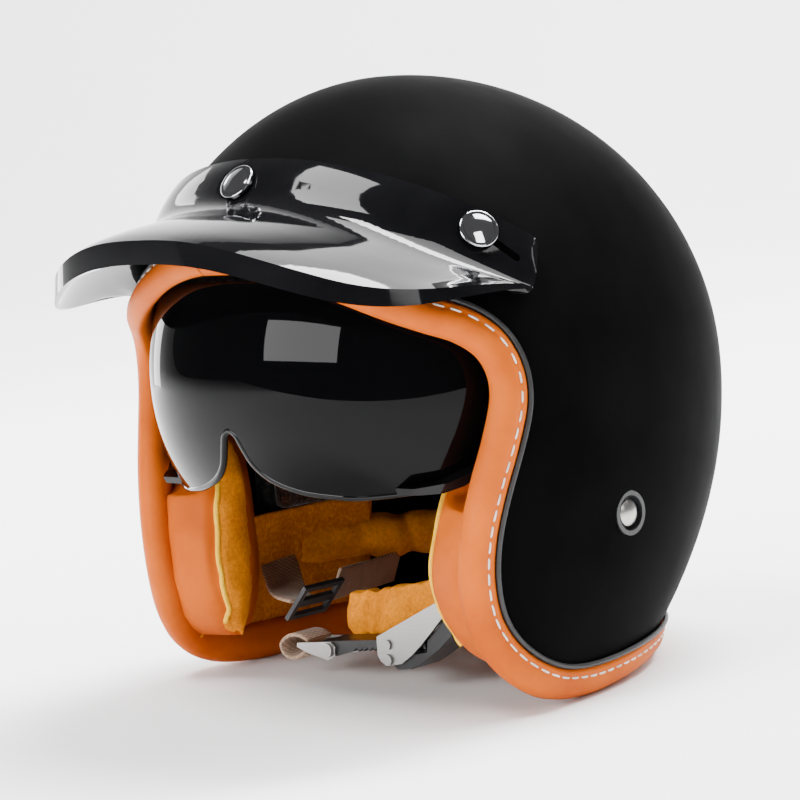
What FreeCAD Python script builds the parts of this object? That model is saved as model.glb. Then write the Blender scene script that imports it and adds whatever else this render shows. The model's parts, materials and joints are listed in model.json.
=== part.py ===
"""Open face motorcycle helmet: separate solids, millimetres.

Modelling axes: +X wearer's left, -Y forward, +Z up. Every solid is moved by
ORIGIN when it is written, which puts the origin at the centre of the base.
"""
import FreeCAD, Part
import math
import os

os.makedirs("parts", exist_ok=True)
V = FreeCAD.Vector

# ---- driving dimensions -------------------------------------------------
ORIGIN = V(0.0, -2.1, 6.64)

# head form: widest section, and how it tucks in below it
HALF_WIDTH = 118.0
FRONT = 117.3
REAR = 150.9
CROWN_Z = 249.6
EQUATOR_Z = 115.2
PLAN_POWER = 2.1
SIDE_TUCK = 0.15
FRONT_TUCK = 0.08
REAR_TUCK = 0.33
FORWARD_DRIFT = 35.0
FORM_FLOOR = -8.0

SHELL_T = 4.0
EPS_DEPTH = 30.0
LINER_DEPTH = 38.0

# visible end of the leather trim, side view (y, z), brow to nape
RIM = [(-99.6, 189.0), (-96.6, 187.2), (-93.2, 182.6), (-88.6, 175.0), (-82.0, 168.0),
       (-74.5, 162.6), (-62.9, 156.0), (-53.6, 146.4), (-48.6, 133.0), (-48.3, 119.5),
       (-52.6, 102.0), (-57.8, 85.2), (-62.0, 66.0), (-62.6, 47.5), (-59.4, 32.0),
       (-51.2, 19.6), (-36.5, 10.2), (-15.5, 6.3), (10.0, 6.2), (40.0, 7.4),
       (67.2, 8.6), (90.0, 9.0), (112.0, 9.2)]
EDGE_BACK = 7.0
TRIM_STEPS = 84

# sun visor: a surface of revolution about the pivot line
PIVOT_Y = -10.0
PIVOT_Z = 128.0
LENS_R = 98.5
LENS_HALF = 97.0
LENS_POWER = 2.3
LENS_T = 2.2

# peak
PEAK_HALF = 108.4
PEAK_REACH = 105.8
PEAK_POWER = 2.5
PEAK_Y = -40.8
PEAK_T = 3.0
BAND_GAP = 2.6
BAND_TOP = (-24.5, 176.15, -0.770)
BAND_BOTTOM = (-32.0, 155.27, -0.787)
SNAP_R = 8.0
STUD_R = 4.0

# chin strap
RIVET = V(118.0, 2.9, 66.6)
WEB_T = 1.6
BUCKLE_Y = -30.0
BUCKLE_HALF = 10.0
PLATE_T = 1.2
LEVER_PIN = V(14.2, BUCKLE_Y, 6.8)
BAR_PIN = V(46.0, BUCKLE_Y, 30.5)


# ---- head form ----------------------------------------------------------
def section_size(z, inset):
    """Half width, front and rear reach and widest point of a level section."""
    a = HALF_WIDTH - inset
    f = FRONT - inset
    r = REAR - inset
    if z >= EQUATOR_Z:
        rise = (z - EQUATOR_Z) / (CROWN_Z - inset - EQUATOR_Z)
        s = math.sqrt(max(0.0, 1.0 - rise * rise))
        return a * s, f * s, r * s, 0.0
    t = (EQUATOR_Z - z) / EQUATOR_Z
    mid = -FORWARD_DRIFT * t * t
    return (a * (1.0 - SIDE_TUCK * t * t), f * (1.0 - FRONT_TUCK * t * t) + mid,
            r * (1.0 - REAR_TUCK * t ** 2.2) - mid, mid)


def form_value(x, y, z, inset):
    """Below 1 inside the head form, above 1 outside."""
    a, f, r, mid = section_size(z, inset)
    if a <= 0.01:
        return 9.0
    reach = r if y > mid else f
    return (abs(x) / a) ** PLAN_POWER + (abs(y - mid) / reach) ** PLAN_POWER


def form_x(y, z, inset):
    """Half width of the head form at a point of the side view, or None."""
    a, f, r, mid = section_size(z, inset)
    reach = r if y > mid else f
    if a <= 0.01 or reach <= 0.01:
        return None
    left = 1.0 - (abs(y - mid) / reach) ** PLAN_POWER
    if left < 0.0:
        return None
    return a * left ** (1.0 / PLAN_POWER)


def form_normal(p, inset):
    """Unit outward normal of the head form near a point."""
    h = 0.05
    grad = []
    for step in (V(h, 0, 0), V(0, h, 0), V(0, 0, h)):
        hi = p + step
        lo = p - step
        grad.append(form_value(hi.x, hi.y, hi.z, inset) - form_value(lo.x, lo.y, lo.z, inset))
    n = V(grad[0], grad[1], grad[2])
    n.normalize()
    return n


def closed_spline(points):
    curve = Part.BSplineCurve()
    curve.interpolate(points, PeriodicFlag=True)
    return Part.Wire(curve.toShape())


def section_wire(z, inset, count=40):
    a, f, r, mid = section_size(z, inset)
    points = []
    for i in range(count):
        t = 2.0 * math.pi * i / count
        c = math.cos(t)
        s = math.sin(t)
        x = a * math.copysign(abs(c) ** (2.0 / PLAN_POWER), c)
        reach = r if s > 0 else f
        y = mid + reach * math.copysign(abs(s) ** (2.0 / PLAN_POWER), s)
        points.append(V(x, y, z))
    return closed_spline(points)


def head_form(inset, floor=FORM_FLOOR):
    """Closed solid of the head form, inset from the outer surface."""
    wires = []
    steps = 7
    for i in range(steps):
        z = floor + (EQUATOR_Z - floor) * i / steps
        wires.append(section_wire(z, inset))
    height = CROWN_Z - inset - EQUATOR_Z
    for angle in (0, 10, 20, 30, 40, 50, 58, 66, 73, 79, 84, 88):
        z = EQUATOR_Z + height * math.sin(math.radians(angle))
        wires.append(section_wire(z, inset))
    return Part.makeLoft(wires, True, False)


# ---- side view helpers --------------------------------------------------
def rim_curve():
    curve = Part.BSplineCurve()
    curve.interpolate([V(0, y, z) for y, z in RIM])
    return curve


def rim_offset(offset, count=260):
    """Side view points of the rim moved towards the opening."""
    curve = rim_curve()
    first = curve.FirstParameter
    last = curve.LastParameter
    rows = []
    for i in range(count + 1):
        u = first + (last - first) * i / count
        p = curve.value(u)
        t = curve.tangent(u)[0]
        rows.append((p.y + t.z * offset, p.z - t.y * offset))
    return rows


def side_prism(points, x_low=-160.0, x_high=160.0):
    """Polygon in the side view, extruded across the width."""
    ring = [V(x_low, y, z) for y, z in points]
    ring.append(ring[0])
    face = Part.Face(Part.makePolygon(ring))
    return face.extrude(V(x_high - x_low, 0, 0))


def opening_prism(offset, count=90):
    """Everything in front of and below the rim moved by offset."""
    rows = rim_offset(offset, count)
    first = rows[0]
    last = rows[-1]
    ring = [(-260.0, first[1] + 8.0)]
    ring += rows
    ring += [(260.0, last[1]), (260.0, -80.0), (-260.0, -80.0)]
    return side_prism(ring)


def edge_path(offset, inset, count):
    """Closed row of (point, normal, towards the opening) along the rim."""
    rows = rim_offset(offset, 900)
    first = rows[0]
    lead = [(first[0] - 12.0 + 0.2 * i, first[1] + 2.0 * (1.0 - i / 60.0)) for i in range(60)]
    last = rows[-1]
    tail = [(last[0] + 0.2 * i, last[1]) for i in range(1, 200)]
    half = []
    for y, z in lead + rows + tail:
        x = form_x(y, z, inset)
        if x is not None:
            half.append(V(x, y, z))
    half[0] = V(0, half[0].y, half[0].z)
    half[-1] = V(0, half[-1].y, half[-1].z)
    ring = half + [V(-p.x, p.y, p.z) for p in reversed(half[1:-1])]
    ring.append(ring[0])
    lengths = [0.0]
    for a, b in zip(ring, ring[1:]):
        lengths.append(lengths[-1] + (b - a).Length)
    points = []
    k = 0
    for i in range(count):
        goal = lengths[-1] * i / count
        while lengths[k + 1] < goal:
            k += 1
        part = (goal - lengths[k]) / max(1e-9, lengths[k + 1] - lengths[k])
        points.append(ring[k] + (ring[k + 1] - ring[k]) * part)
    path = []
    for i, p in enumerate(points):
        along = points[(i + 1) % count] - points[i - 1]
        along.normalize()
        n = form_normal(p, inset)
        e = along.cross(n)
        e.normalize()
        path.append((p, n, e))
    return path


def ring_sweep(path, section, slot=None):
    """Closed loft of section(point) -> [(towards opening, outward)] along a path."""
    wires = []
    for p, n, e in path:
        ring = [p + e * a + n * b for a, b in section(p)]
        if slot is None:
            wires.append(closed_spline(ring))
            continue
        skin = Part.BSplineCurve()
        skin.interpolate(ring)
        corners = [ring[-1]] + [p + e * a + n * b for a, b in slot(n, e)] + [ring[0]]
        edges = [skin.toShape()]
        edges += [Part.makeLine(a, b) for a, b in zip(corners, corners[1:])]
        wires.append(Part.Wire(edges))
    wires.append(wires[0])
    return Part.makeLoft(wires, True, False)


def ramp(value, low, high):
    return min(1.0, max(0.0, (value - low) / (high - low)))


# ---- general helpers ----------------------------------------------------
PARTS = {}


def keep(name, shape):
    PARTS[name] = shape


def mirror(shape):
    return shape.mirror(V(0, 0, 0), V(1, 0, 0))


def rod(base, axis, radius, low, high):
    start = base + axis * low
    return Part.makeCylinder(radius, high - low, start, axis)


def strip(rows, width, thickness):
    """Flat webbing through (point, width direction) rows."""
    wires = []
    count = len(rows)
    for i, (p, w) in enumerate(rows):
        ahead = rows[min(i + 1, count - 1)][0] - rows[max(i - 1, 0)][0]
        w = V(w.x, w.y, w.z)
        w.normalize()
        t = ahead.cross(w)
        t.normalize()
        a = w * (width / 2.0)
        b = t * (thickness / 2.0)
        ring = [p - a - b, p + a - b, p + a + b, p - a + b, p - a - b]
        wires.append(Part.makePolygon(ring))
    return Part.makeLoft(wires, True, True)


def smooth(points, count):
    curve = Part.BSplineCurve()
    curve.interpolate(points)
    first = curve.FirstParameter
    last = curve.LastParameter
    return [curve.value(first + (last - first) * i / (count - 1)) for i in range(count)]


def front_plate(points, y_low, y_high):
    """Polygon in the front view (x, z), extruded from y_low to y_high."""
    ring = [V(x, y_low, z) for x, z in points]
    ring.append(ring[0])
    return Part.Face(Part.makePolygon(ring)).extrude(V(0, y_high - y_low, 0))


# ---- shell, piping and trim ---------------------------------------------
outer_form = head_form(0.0)
inner_form = head_form(SHELL_T)
face_cut = opening_prism(EDGE_BACK)
rivet_axis = V(1, 0, 0)
shell = outer_form.cut(inner_form).cut(face_cut)
for side in (1.0, -1.0):
    seat = V(0, RIVET.y, RIVET.z)
    axis = V(side, 0, 0)
    shell = shell.cut(rod(seat, axis, 9.3, 90.0, 130.0))


def snap_frame(x, lean):
    """Point on the shell and normal for a peak snap on the band's middle."""
    low = -118.0
    high = -20.0
    for _ in range(50):
        y = 0.5 * (low + high)
        z = lean[1] + lean[2] * (y - lean[0])
        if form_value(x, y, z, 0.0) > 1.0:
            low = y
        else:
            high = y
    p = V(x, y, z)
    return p, form_normal(p, 0.0)


SNAP_LINE_MID = (-89.0, 209.6, -0.778)
SNAP_LINE_SIDE = (-52.0, 184.6, -0.778)
snaps = {"centre": snap_frame(0.0, SNAP_LINE_MID),
         "left": snap_frame(89.5, SNAP_LINE_SIDE),
         "right": snap_frame(-89.5, SNAP_LINE_SIDE)}
for base, axis in snaps.values():
    shell = shell.cut(rod(base, axis, 2.0, -8.0, 4.0))
keep("outer_shell", shell)


def trim_section(p):
    """Outside of the leather bolster, from its outer lip round to its inner lip."""
    deep = 6.4 + 3.4 * (1.0 - ramp(p.z, 118.0, 150.0))
    return [(-7.0, 0.05), (-6.4, 1.7), (-4.2, 3.1), (-1.0, 3.8), (2.6, 3.0), (5.6, 0.5),
            (6.8, -2.6), (5.6, -0.62 * deep), (1.8, -0.92 * deep), (-3.0, -deep),
            (-7.2, -deep), (-9.4, -0.5 * (deep + 4.75))]


def trim_slot(n, e):
    """Groove of the bolster: its floor leans with the shell's edge face."""
    along = n.cross(e)
    face = V(1, 0, 0) - along * along.x
    if face.Length < 0.08:
        face = V(0, 1, 0) - along * along.y
    lean = max(0.0, -SHELL_T * face.dot(e) / face.dot(n))
    return [(-9.4, -4.85), (0.45 + 1.08 * lean, -4.4), (0.45, 0.35)]


path = edge_path(EDGE_BACK, 0.0, TRIM_STEPS)
keep("edge_trim", ring_sweep(path, trim_section, trim_slot))


def bead_section(p):
    row = []
    for i in range(7):
        t = math.radians(-45.0 + 45.0 * i)
        row.append((-8.6 + 1.1 * math.cos(t), 1.1 + 1.1 * math.sin(t)))
    return row


keep("edge_piping", ring_sweep(path, bead_section, lambda n, e: []))


# ---- sun visor ----------------------------------------------------------
def lens_form(grow):
    """Solid of revolution that the visor's outer face belongs to."""
    half = LENS_HALF + grow
    radius = LENS_R + grow
    points = []
    count = 24
    for i in range(count + 1):
        t = math.pi * i / count
        c = math.cos(t)
        s = math.sin(t)
        x = half * math.copysign(abs(c) ** (2.0 / LENS_POWER), c)
        r = radius * abs(s) ** (2.0 / LENS_POWER)
        points.append(V(x, PIVOT_Y - r, PIVOT_Z))
    curve = Part.BSplineCurve()
    curve.interpolate(points)
    line = Part.makeLine(points[-1], points[0])
    face = Part.Face(Part.Wire([curve.toShape(), line]))
    return face.revolve(V(0, PIVOT_Y, PIVOT_Z), V(1, 0, 0), 360)


LENS_SIDE = [(-125.0, 183.0), (-60.0, 156.0), (-40.0, 147.5), (-17.0, 137.0),
             (-10.0, 138.5), (-3.0, 136.5), (0.5, 131.5), (0.5, 124.5), (-3.5, 119.0),
             (-12.0, 115.5), (-35.0, 103.0), (-47.0, 96.5), (-58.0, 90.5),
             (-70.0, 85.2), (-85.0, 84.0), (-125.0, 84.0)]
NOTCH = [(0.0, 113.0), (3.4, 110.6), (5.6, 105.6), (9.0, 98.6), (15.0, 92.8),
         (27.0, 87.6), (44.0, 84.6), (58.0, 83.0)]


def notch_prism(drop):
    right = smooth([V(x, 0, z - drop) for x, z in NOTCH], 24)
    ring = [(p.x, p.z) for p in right]
    ring += [(58.0, 60.0), (-58.0, 60.0)]
    ring += [(-p.x, p.z) for p in reversed(right[1:])]
    return front_plate(ring, -140.0, -62.0)


lens_outer = lens_form(0.0)
lens_skin = lens_outer.cut(lens_form(-LENS_T))
lens = lens_skin.common(side_prism(LENS_SIDE)).cut(notch_prism(0.0))
pivot_line = V(0, PIVOT_Y, PIVOT_Z)
lens = lens.cut(rod(pivot_line, V(1, 0, 0), 3.05, -110.0, 110.0))
keep("sun_visor_lens", lens)

tab_skin = lens_form(6.0).cut(lens_form(0.02))
TAB_SIDE = [(-79.0, 87.2), (-68.0, 88.4), (-57.0, 93.6), (-55.5, 91.2),
            (-62.0, 86.4), (-69.0, 84.2), (-78.0, 84.4)]
tabs = tab_skin.common(side_prism(TAB_SIDE))
for solid in tabs.Solids:
    keep("visor_tab_left" if solid.CenterOfMass.x > 0 else "visor_tab_right", solid)

# space the visor sweeps between the shell and the foam
SWEEP_SIDE = [(12.0, 128.0), (9.0, 116.0), (-2.0, 106.0), (-30.0, 92.0),
              (-52.0, 78.0), (-130.0, 74.0), (-150.0, 120.0), (-150.0, 262.0),
              (-14.0, 262.0), (8.0, 150.0)]
sweep_room = outer_form.cut(lens_form(-LENS_T - 1.6)).common(side_prism(SWEEP_SIDE))


def pivot_parts(side):
    axis = V(side, 0, 0)
    block = rod(pivot_line, axis, 11.0, LENS_HALF + 0.45, 125.0)
    block = block.common(head_form(SHELL_T + 0.02))
    block = block.cut(rod(pivot_line, axis, 2.05, 90.0, 110.0))
    washer = rod(pivot_line, axis, 7.0, LENS_HALF - LENS_T - 0.90, LENS_HALF - LENS_T - 0.30)
    washer = washer.cut(rod(pivot_line, axis, 3.05, 80.0, 110.0))
    sleeve = rod(pivot_line, axis, 3.0, LENS_HALF - LENS_T - 0.90, LENS_HALF + 0.45)
    head = rod(pivot_line, axis, 6.0, LENS_HALF - LENS_T - 2.9, LENS_HALF - LENS_T - 0.90)
    thread = rod(pivot_line, axis, 2.05, LENS_HALF + 0.4, 109.9)
    slot = Part.makeBox(2.0, 9.0, 1.2, V(-1.0, -4.5, -0.6))
    slot.translate(V(side * (LENS_HALF - LENS_T - 2.9), PIVOT_Y, PIVOT_Z))
    screw = sleeve.fuse(head).fuse(thread).cut(slot)
    return block, washer, screw


block, washer, screw = pivot_parts(1.0)
keep("visor_pivot_block_left", block)
keep("visor_washer_left", washer)
keep("visor_pivot_screw_left", screw)
block, washer, screw = pivot_parts(-1.0)
keep("visor_pivot_block_right", block)
keep("visor_washer_right", washer)
keep("visor_pivot_screw_right", screw)

# ---- impact foam and comfort lining -------------------------------------
foam_outer = head_form(SHELL_T + 0.1)
foam_inner = head_form(EPS_DEPTH)
low_foam = side_prism([(-260, 104), (-6, 104), (-6, 58), (260, 58), (260, -80), (-260, -80)])
foam = foam_outer.cut(foam_inner).cut(opening_prism(-4.5)).cut(low_foam).cut(sweep_room)
strap_room = Part.makeBox(40.0, 32.0, 30.0, V(94.0, -13.0, 52.0))
foam = foam.cut(strap_room).cut(mirror(strap_room))
for base, axis in snaps.values():
    foam = foam.cut(rod(base, axis, 5.0, -9.0, 0.0))
for side in (-1.0, 1.0):
    foam = foam.cut(rod(pivot_line, V(side, 0, 0), 7.4, 80.0, 112.0))
keep("impact_foam", max(foam.Solids, key=lambda s: s.Volume))

lining_skin = head_form(EPS_DEPTH + 0.3).cut(head_form(LINER_DEPTH))
crown_region = side_prism([(-90, 196), (96, 176), (140, 190), (140, 262), (-110, 262)])
keep("crown_liner", lining_skin.common(crown_region))
band_region = side_prism([(-62, 193), (-74, 166), (-66, 140), (-30, 112), (-4, 106),
                          (-4, 61), (140, 61), (140, 187), (96, 173.5)])
band_pad = lining_skin.common(band_region)
front_split = side_prism([(-120, 230), (-22, 230), (-22, 60), (-120, 60)])
brow = lining_skin.common(side_prism([(-95, 192.5), (-95, 160), (-70, 148), (-46, 134),
                                      (-23, 124), (-23, 186)]))
brow = brow.cut(sweep_room)
keep("brow_pad", max(brow.Solids, key=lambda s: s.Volume))
rear_pad = band_pad.cut(front_split)
keep("head_band_pad", max(rear_pad.Solids, key=lambda s: s.Volume))

# cheek pads: plan outlines (outer y range follows the trim), bottom to top
CHEEK = [  # z, front y, inner x at the nose of the pad, y of that nose, rear y
    (17.0, -48.0, 68.0, -42.0, -16.0),
    (26.0, -60.0, 62.0, -50.0, -12.0),
    (42.0, -67.5, 59.0, -53.0, -9.0),
    (60.0, -67.0, 60.0, -52.0, -8.0),
    (78.0, -62.0, 62.0, -49.0, -8.0),
    (92.0, -56.0, 66.0, -46.0, -9.0),
    (101.0, -50.0, 72.0, -42.0, -12.0)]
PAD_INSET = 10.6


def cheek_pad():
    wires = []
    for z, front, nose_x, nose_y, rear in CHEEK:
        out_f = form_x(front + 3.0, z, PAD_INSET) - 1.0
        out_m = form_x(0.5 * (front + rear), z, PAD_INSET)
        out_r = form_x(rear - 3.0, z, PAD_INSET) - 1.0
        points = [V(out_f, front + 5.0, z), V(out_m, 0.5 * (front + rear), z),
                  V(out_r, rear - 4.0, z), V(out_r - 5.0, rear, z),
                  V(0.55 * out_r + 0.45 * nose_x, rear - 9.0, z),
                  V(0.25 * out_r + 0.75 * nose_x, rear - 22.0, z),
                  V(nose_x, nose_y, z), V(nose_x + 4.0, front + 3.5, z),
                  V(0.5 * (nose_x + out_f), front, z), V(out_f - 5.0, front + 0.8, z)]
        wires.append(closed_spline(points))
    return Part.makeLoft(wires, True, False)


def pad_snaps(radius, depth):
    """Three plastic press studs that hold a cheek pad to its frame."""
    out = []
    for y, z in ((-48.0, 36.0), (-30.0, 36.0), (-36.0, 66.0)):
        x = form_x(y, z, SHELL_T)
        n = form_normal(V(x, y, z), SHELL_T)
        out.append(rod(V(x, y, z), n, radius, -depth, -0.3))
    return out


cheek = cheek_pad().cut(sweep_room).cut(Part.makeCompound(pad_snaps(5.5, 6.1)))
cheek = max(cheek.Solids, key=lambda s: s.Volume)
keep("cheek_pad_left", cheek)
keep("cheek_pad_right", mirror(cheek))


carrier = head_form(SHELL_T + 0.1).cut(head_form(SHELL_T + 1.8))
carrier = carrier.common(side_prism([(-50, 30), (-14, 24), (-14, 84), (-44, 84), (-50, 50)]))
carrier_left = max(carrier.Solids, key=lambda s: s.CenterOfMass.x)
studs = Part.makeCompound(pad_snaps(5.0, 5.6))
carrier_left = carrier_left.cut(studs)
keep("pad_carrier_left", carrier_left)
keep("pad_carrier_right", mirror(carrier_left))
keep("pad_snaps_left", studs)
keep("pad_snaps_right", mirror(studs))


# ---- neck roll ----------------------------------------------------------
def neck_roll():
    wires = []
    count = 13
    for i in range(count):
        t = math.radians(3.0 + 174.0 * i / (count - 1))
        z = 43.0 - 6.0 * math.sin(t)
        c = math.cos(t)
        s = math.sin(t)
        a, f, r, mid = section_size(z, 22.0 + 6.0 * s)
        x = a * math.copysign(abs(c) ** 0.95, c)
        y = mid + 14.0 + (r - 14.0) * s ** 0.95
        out = V(c * r, s * a, 0)
        out.normalize()
        taper = 0.72 + 0.28 * min(1.0, 5.0 * s)
        ring = []
        for k in range(12):
            w = 2.0 * math.pi * k / 12
            ring.append(V(x, y, z) + out * (12.6 * taper * math.cos(w))
                        + V(0, 0, 13.5 * taper * math.sin(w)))
        wires.append(closed_spline(ring))
    return Part.makeLoft(wires, True, False)


roll = neck_roll()

# ---- strap anchors ------------------------------------------------------
def anchor(side):
    axis = V(side, 0, 0)
    seat = V(0, RIVET.y, RIVET.z)
    wall = form_x(RIVET.y, RIVET.z, 0.0)
    cup = rod(seat, axis, 9.1, wall - 4.6, wall + 0.3)
    cup = cup.cut(rod(seat, axis, 7.2, wall - 3.2, wall + 2.0))
    cup = cup.cut(rod(seat, axis, 3.05, 90.0, 130.0))
    stem = rod(seat, axis, 3.0, wall - 9.6, wall - 1.4)
    head = rod(seat, axis, 5.4, wall - 3.2, wall - 1.5)
    dome = Part.makeSphere(9.0, seat + axis * (wall - 8.1))
    dome = dome.common(rod(seat, axis, 5.4, wall - 1.5, wall + 6.0))
    tail = rod(seat, axis, 5.0, wall - 10.5, wall - 9.1)
    return cup, stem.fuse(head).fuse(dome).fuse(tail)


WALL = form_x(RIVET.y, RIVET.z, 0.0)
hanger = Part.makeBox(1.6, 24.0, 22.0, V(WALL - 9.0, RIVET.y - 12.0, RIVET.z - 14.0))
hanger = hanger.cut(rod(V(0, RIVET.y, RIVET.z), rivet_axis, 3.05, 90.0, 130.0))
hanger = hanger.cut(Part.makeBox(4.0, 19.0, 4.0, V(WALL - 10.0, RIVET.y - 9.5, RIVET.z - 11.5)))
cup, strap_rivet = anchor(1.0)
keep("strap_hanger_left", hanger)
keep("strap_hanger_right", mirror(hanger))
keep("rivet_cup_left", cup)
keep("rivet_cup_right", mirror(cup))
keep("strap_rivet_left", strap_rivet)
keep("strap_rivet_right", mirror(strap_rivet))

# ---- peak ---------------------------------------------------------------
def on_form(x, plane, inset):
    """Front point of the head form at width x on a plane that leans forward."""
    low = -190.0
    high = plane[0]
    for _ in range(50):
        y = 0.5 * (low + high)
        z = plane[1] + plane[2] * (y - plane[0])
        if form_value(x, y, z, inset) > 1.0:
            low = y
        else:
            high = y
    return V(x, y, z)


def lip_point(angle):
    c = math.cos(angle)
    s = abs(math.sin(angle))
    power = 2.0 / PEAK_POWER
    x = (PEAK_HALF + 2.6) * math.copysign(abs(c) ** power, c)
    y = PEAK_Y - PEAK_REACH * s ** power
    z = 162.2 + 13.9 * s - 67.1 * s * s + 74.2 * s ** 3
    return V(x, y, z)


def peak_section(angle):
    c = math.cos(angle)
    s = math.sin(angle)
    spread = math.copysign(abs(c) ** 0.9, c)
    outer = BAND_GAP + PEAK_T
    top_x = 105.3 * spread
    low_x = 110.2 * spread
    top_o = on_form(top_x, BAND_TOP, -outer)
    top_i = on_form(top_x, BAND_TOP, -BAND_GAP)
    mid_plane = (-28.2, 165.65, -0.778)
    mid_o = on_form(107.9 * spread, mid_plane, -outer)
    mid_i = on_form(107.9 * spread, mid_plane, -BAND_GAP)
    low_o = on_form(low_x, BAND_BOTTOM, -outer)
    low_i = on_form(low_x, BAND_BOTTOM, -BAND_GAP)
    lip = lip_point(angle)
    rise = 2.2 + 7.3 * ramp(s, 0.05, 0.8)
    crest = lip + V(0, 0, rise)
    bill_a = low_o + (crest - low_o) * 0.36 + V(0, 0, -1.2 * s)
    bill_b = low_o + (crest - low_o) * 0.70 + V(0, 0, 0.6 * s)
    over = [top_o, mid_o, low_o, bill_a, bill_b, crest]
    inward = V(-c, s, 0)
    inward.normalize()
    drop = V(0, 0, -PEAK_T)
    lip_in = lip + inward * PEAK_T
    under = [lip_in, bill_b + drop + inward * 1.6, bill_a + drop + inward * 0.8,
             low_i + drop, mid_i, top_i]
    across = (lip - top_o).cross(low_i - top_o)
    across.normalize()
    over = [p - across * (p - top_o).dot(across) for p in over]
    under = [p - across * (p - top_o).dot(across) for p in under]
    crest = over[-1]
    lip_in = under[0]
    top_i = under[-1]
    face_a = Part.BSplineCurve()
    face_a.interpolate(over)
    face_b = Part.BSplineCurve()
    face_b.interpolate(under)
    return Part.Wire([face_a.toShape(), Part.makeLine(crest, lip), Part.makeLine(lip, lip_in),
                      face_b.toShape(), Part.makeLine(top_i, top_o)])


wires = [peak_section(math.radians(2.0 + 176.0 * i / 36)) for i in range(37)]
peak = Part.makeLoft(wires, True, False)
for base, axis in snaps.values():
    peak = peak.cut(rod(base, axis, 6.4, 0.5, 12.0))


def rounded_end(corner, before, after, radius):
    """Side view points of a rounded corner of the band's end."""
    d_in = (corner - before).normalize()
    d_out = (after - corner).normalize()
    start = corner - d_in * radius
    end = corner + d_out * radius
    rows = []
    for i in range(9):
        w = i / 8.0
        rows.append(start * (1 - w) ** 2 + corner * (2 * w * (1 - w)) + end * w ** 2)
    return rows


def slot_cutter(a, b, normal, radius):
    """Straight slot with round ends between two points on the band."""
    along = (b - a).normalize()
    across = normal.cross(along)
    ring = []
    for centre, first in ((a, 90.0), (b, -90.0)):
        for i in range(9):
            t = math.radians(first + 22.5 * i)
            ring.append(centre + along * (radius * math.cos(t)) + across * (radius * math.sin(t)))
    ring.append(ring[0])
    flat = [p - normal * ((p - a).dot(normal) + 5.0) for p in ring]
    return Part.Face(Part.makePolygon(flat)).extrude(normal * 10.0)


END_TOP = V(0, -30.6, 180.9)
END_LOW = V(0, -40.3, 161.2)
FAR_TOP = V(0, -230.0, 334.6)
FAR_LOW = V(0, -230.0, 148.0)
zone = [FAR_TOP] + rounded_end(END_TOP, FAR_TOP, END_LOW, 5.5)
zone += rounded_end(END_LOW, END_TOP, FAR_LOW, 5.0) + [FAR_LOW]
peak = peak.common(side_prism([(p.y, p.z) for p in zone]))
SLOT_A = V(98.4, -49.1, 181.6)
SLOT_B = V(104.4, -43.0, 174.7)
slot_tool = slot_cutter(SLOT_A, SLOT_B, form_normal(SLOT_A, 0.0), 1.5)
peak = peak.cut(slot_tool).cut(mirror(slot_tool))
keep("peak", max(peak.Solids, key=lambda s: s.Volume))


def snap_set(name):
    base, axis = snaps[name]
    post = rod(base, axis, 1.55, -5.6, 0.2)
    stud = rod(base, axis, STUD_R + 1.0, 0.12, 0.7).fuse(rod(base, axis, STUD_R, 0.6, 2.3))
    washer_in = rod(base, axis, 4.2, -6.0, -4.5)
    stud = stud.fuse(post).fuse(washer_in)
    socket = rod(base, axis, 6.3, 2.75, 5.9).cut(rod(base, axis, 5.2, 2.0, 4.4))
    rim = rod(base, axis, SNAP_R, 5.95, 7.5)
    edge = [e for e in rim.Edges if isinstance(e.Curve, Part.Circle)]
    rim = rim.makeFillet(0.6, [max(edge, key=lambda e: (e.Curve.Center - base).dot(axis))])
    dome = Part.makeSphere(24.0, base + axis * (8.3 - 24.0))
    cap = rim.cut(rod(base, axis, SNAP_R - 1.6, 6.8, 9.0))
    button = rod(base, axis, SNAP_R - 1.75, 6.8, 12.0).common(dome)
    return stud, socket, cap.fuse(button)


for name in ("centre", "left", "right"):
    stud, socket, cap = snap_set(name)
    keep("snap_stud_" + name, stud)
    keep("snap_socket_" + name, socket)
    keep("snap_cap_" + name, cap)

# ---- chin strap buckle --------------------------------------------------
RECEIVER = [(8.0, 16.1), (7.8, 8.4), (9.5, 5.6), (13.0, 4.0), (21.4, 5.6), (27.6, 9.6),
            (33.7, 14.7), (38.6, 19.3), (46.0, 26.3), (50.2, 30.0), (50.4, 36.0)]
TONGUE_LEAN = 0.105


def y_pin(base, radius, low, high):
    return Part.makeCylinder(radius, high - low, V(base.x, low, base.z), V(0, 1, 0))


near = BUCKLE_Y - BUCKLE_HALF
far = BUCKLE_Y + BUCKLE_HALF
side_a = front_plate(RECEIVER, near, near + PLATE_T)
side_b = front_plate(RECEIVER, far - PLATE_T, far)
roof = front_plate([(12.0, 18.0), (12.0, 16.8), (46.0, 32.9), (46.0, 34.1)], near, far)
receiver = side_a.fuse(side_b).fuse(roof)
receiver = receiver.cut(y_pin(LEVER_PIN, 1.5, near - 5, far + 5))
receiver = receiver.cut(y_pin(BAR_PIN, 1.5, near - 5, far + 5))
receiver = receiver.cut(y_pin(V(14.4, 0, 13.2), 1.2, near - 5, far + 5))
keep("buckle_receiver", receiver)


def headed_pin(base, radius, head_r):
    pin = y_pin(base, radius, near - 0.1, far + 0.1)
    pin = pin.fuse(y_pin(base, head_r, near - 1.2, near - 0.02))
    return pin.fuse(y_pin(base, head_r, far + 0.02, far + 1.2))


keep("lever_pin", headed_pin(LEVER_PIN, 1.45, 2.4))
keep("strap_bar", headed_pin(BAR_PIN, 1.45, 2.4))
post_a = y_pin(V(14.4, 0, 13.2), 1.15, near - 0.1, near + PLATE_T).fuse(
    y_pin(V(14.4, 0, 13.2), 2.1, near - 1.1, near - 0.02))
keep("plate_rivet", post_a)

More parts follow.
